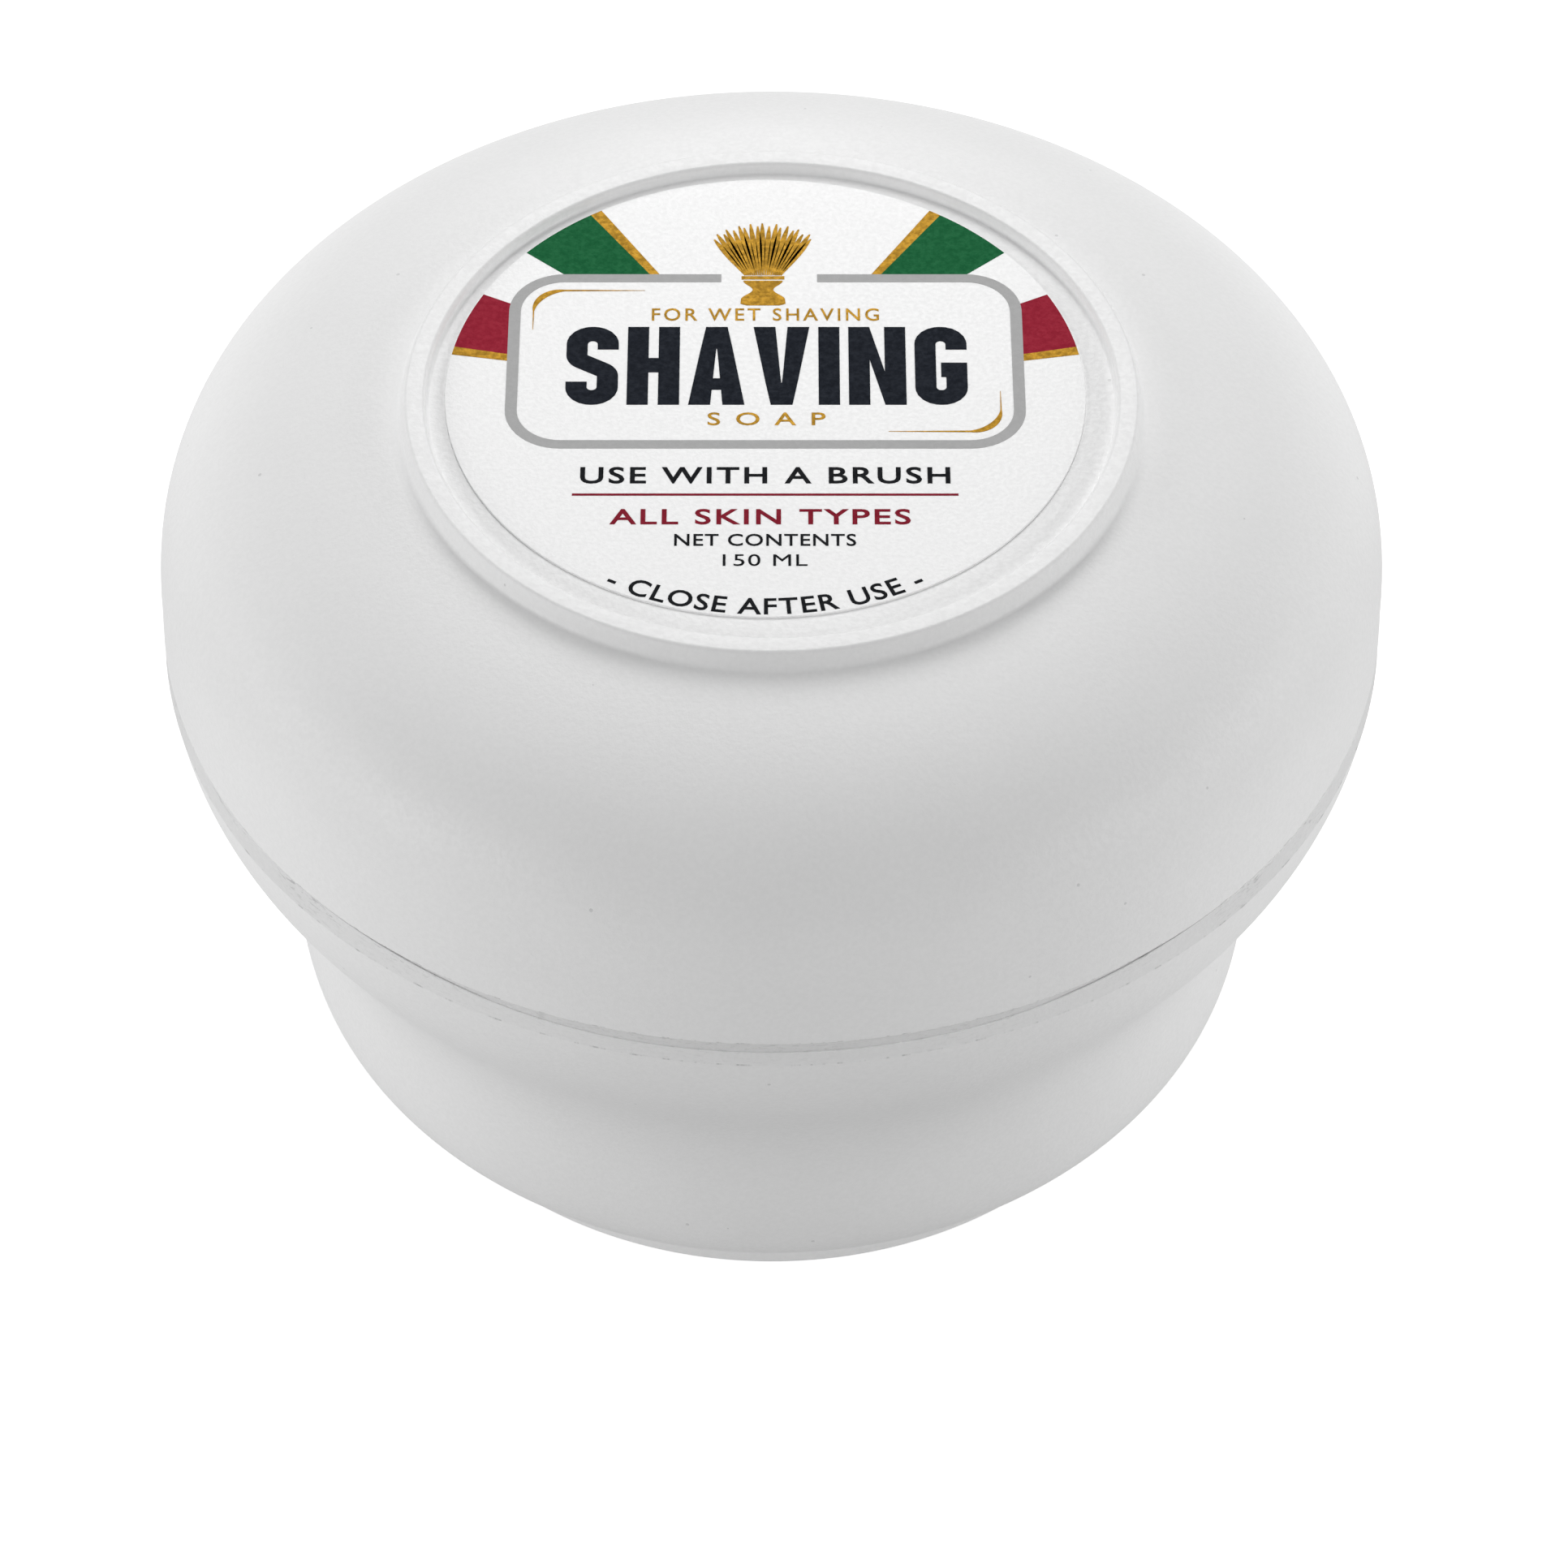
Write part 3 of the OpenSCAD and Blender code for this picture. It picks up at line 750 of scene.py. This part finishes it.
def slanted(upside):
    """The two legs of an A in one slab that runs up the left one and down the right one, or those of a V
    when it is turned upside down."""
    outer = np.array([(0, 0), (0.95, 6.5), (1.38, TALL), (3.12, TALL), (3.55, 6.5), (4.5, 0)])
    inner = np.array([(1.76, 0), (2.1, 5.0), (2.22, 6.6), (2.28, 6.6), (2.4, 5.0), (2.74, 0)])
    if upside:
        outer, inner = (4.5, TALL) - outer, (4.5, TALL) - inner
    return stripe(inner, outer)


curl_s = rounded([(side, 6.5, 0), (side, top, BEND), (low, top, BEND), (low, 5.35, 0.9), (side, 3.85, 0.9),
                  (side, low, BEND), (low, low, BEND), (low, 2.7, 0)])
hook_g = rounded([(side, 6.5, 0), (side, top, BEND), (low, top, BEND), (low, low, BEND), (side, low, BEND),
                  (side, 4.1, 0), (2.1, 4.1, 0)])
word = [
    (4.2, [stroke(curl_s, HEAVY)]),
    (4.2, [upright(low), upright(side), stroke([(HEAVY, 4.65), (side - low, 4.65)], HEAVY)]),
    (4.5, [slanted(False),
           stripe(np.array([(1.88, 1.75), (2.62, 1.75)]), np.array([(1.97, 3.1), (2.53, 3.1)]))]),
    (4.5, [slanted(True)]),
    (1.7, [upright(low)]),
    (4.6, [upright(low), upright(3.75),
           stripe(np.array([(HEAVY, 5.3), (2.9, 0.02)]), np.array([(HEAVY, TALL - 0.02), (2.9, 3.9)]))]),
    (4.2, [stroke(hook_g, HEAVY)])]
SPACE, WORD_X = 0.72, 0.1
pen = WORD_X - (sum(width for width, _ in word) + SPACE * (len(word) - 1)) / 2
navy_parts = []
for width, strokes in word:
    navy_parts += [(points + (pen, WORD_Y, 0), faces) for points, faces in strokes]
    pen += width + SPACE
print_on("word_print", navy_parts, navy_ink)


# ---- the small lettering ----
# Plain words about the contents and their use, printed in black, red and gold ink in one simple face, with
# a red rule and two gold corner strokes.
def small_words(text, cap, width, y, bold=0.0, x=0.0, spacing=1.08):
    """Text as a thin slab, stretched to a capital height and a width about the point (x, y)."""
    curve = bpy.data.curves.new("words", "FONT")
    curve.body = text
    curve.space_character = spacing
    curve.offset = bold
    curve.extrude = 0.5
    curve.resolution_u = 4
    holder = bpy.data.objects.new("words", curve)
    scene.collection.objects.link(holder)
    mesh = bpy.data.meshes.new_from_object(holder.evaluated_get(bpy.context.evaluated_depsgraph_get()))
    bm = bmesh.new()
    bm.from_mesh(mesh)
    bmesh.ops.remove_doubles(bm, verts=bm.verts, dist=1e-4)
    bmesh.ops.dissolve_degenerate(bm, edges=bm.edges, dist=1e-4)
    points = np.array([v.co[:] for v in bm.verts])
    faces = [[v.index for v in f.verts] for f in bm.faces]
    bm.free()
    bpy.data.objects.remove(holder)
    bpy.data.meshes.remove(mesh)
    low, high = points.min(axis=0), points.max(axis=0)
    points = (points - (low + high) / 2) / (high - low) * (width, cap, 2 * INK_T)
    return points + (x, y, 0), faces


def bent(part, radius):
    """Words bent round the front of a circle: a point's distance along becomes an angle, and its height
    is taken off the radius."""
    points, faces = part
    angle, r = points[:, 0] / radius, radius - points[:, 1]
    return np.column_stack([r * np.sin(angle), -r * np.cos(angle), points[:, 2]]), faces


gold_parts.append(small_words("FOR WET SHAVING", 1.5, 18.4, 9.0, 0.008, spacing=1.25))
gold_parts.append(small_words("SOAP", 1.5, 9.4, -3.35, 0.008, x=0.1, spacing=1.9))
print_on("black_print", [
    small_words("USE WITH A BRUSH", 1.9, 29.2, -9.85, 0.016, spacing=1.15),
    small_words("NET CONTENTS", 1.35, 14.2, -17.15, 0.01),
    small_words("150 ML", 1.3, 6.6, -19.4),
    bent(small_words("- CLOSE AFTER USE -", 1.8, 25.2, 0, 0.012), 24.5),
], black_ink)
print_on("red_words_print", [
    small_words("ALL SKIN TYPES", 1.75, 23.6, -14.55, 0.016, x=-0.4, spacing=1.15),
    stroke([(-15.2, -12.05), (15.2, -12.05)], 0.24)], red_text_ink)
INSET = 1.5                                 # of the gold corner strokes inside the plaque's line
turn = np.radians(np.linspace(0, 90, 19))
arc = np.column_stack([-np.cos(turn), np.sin(turn)]) * (PLAQUE_ROUND - INSET)
corner_path = np.vstack([[[-PLAQUE_X + INSET, PLAQUE_HIGH - 6.2]],
                         arc + (-PLAQUE_X + PLAQUE_ROUND, PLAQUE_HIGH - PLAQUE_ROUND),
                         [[-PLAQUE_X + 7.5, PLAQUE_HIGH - INSET], [-PLAQUE_X + 10.5, PLAQUE_HIGH - INSET]]])
swell = 0.04 + 0.5 * np.sin(np.linspace(0, np.pi, len(corner_path)))
gold_parts.append(stroke(corner_path, swell))
gold_parts.append(stroke(np.array([0, 2 * plaque_y]) - corner_path, swell))
print_on("gold_print", gold_parts, gold_ink)

# ---- the print on the sticker under the bowl ----
# Two thin rings, two rules and plain lines about the contents and their use, in the label's black and red
# inks on the coated paper.
def from_below(part):
    """A printed part turned half round about the front-to-back axis, so that it reads from below."""
    points, faces = part
    return points * (-1, 1, -1), faces


def ring_line(radius, width):
    """A printed circle."""
    turn = np.linspace(0, 2 * np.pi, 144, endpoint=False)
    return stroke(np.column_stack([np.cos(turn), np.sin(turn)]) * radius, width, closed=True)


sticker_middle = (0, 0, BASE_Z - LABEL_T)
sticker_black = [
    ring_line(22.6, 0.3),
    small_words("SHAVING SOAP", 2.5, 26, 12.2, 0.016),
    small_words("WORK UP A LATHER", 1.35, 24, 6.6, 0.01),
    small_words("WITH A WET BRUSH", 1.35, 24, 4.0, 0.01),
    small_words("THEN RINSE THE BRUSH", 1.35, 29, -0.2, 0.01),
    small_words("AND CLOSE THE LID", 1.35, 24, -2.8, 0.01),
    small_words("150 ML", 2.6, 14.5, -12.6)]
sticker_red = [
    ring_line(21.7, 0.18),
    stroke([(-16, 9.4), (16, 9.4)], 0.22),
    stroke([(-16, -5.6), (16, -5.6)], 0.22),
    small_words("ALL SKIN TYPES", 1.6, 21, -8.0, 0.012)]
print_on("sticker_black_print", [from_below(part) for part in sticker_black], black_ink, "bowl",
         sticker_middle)
print_on("sticker_red_print", [from_below(part) for part in sticker_red], red_text_ink, "bowl",
         sticker_middle)
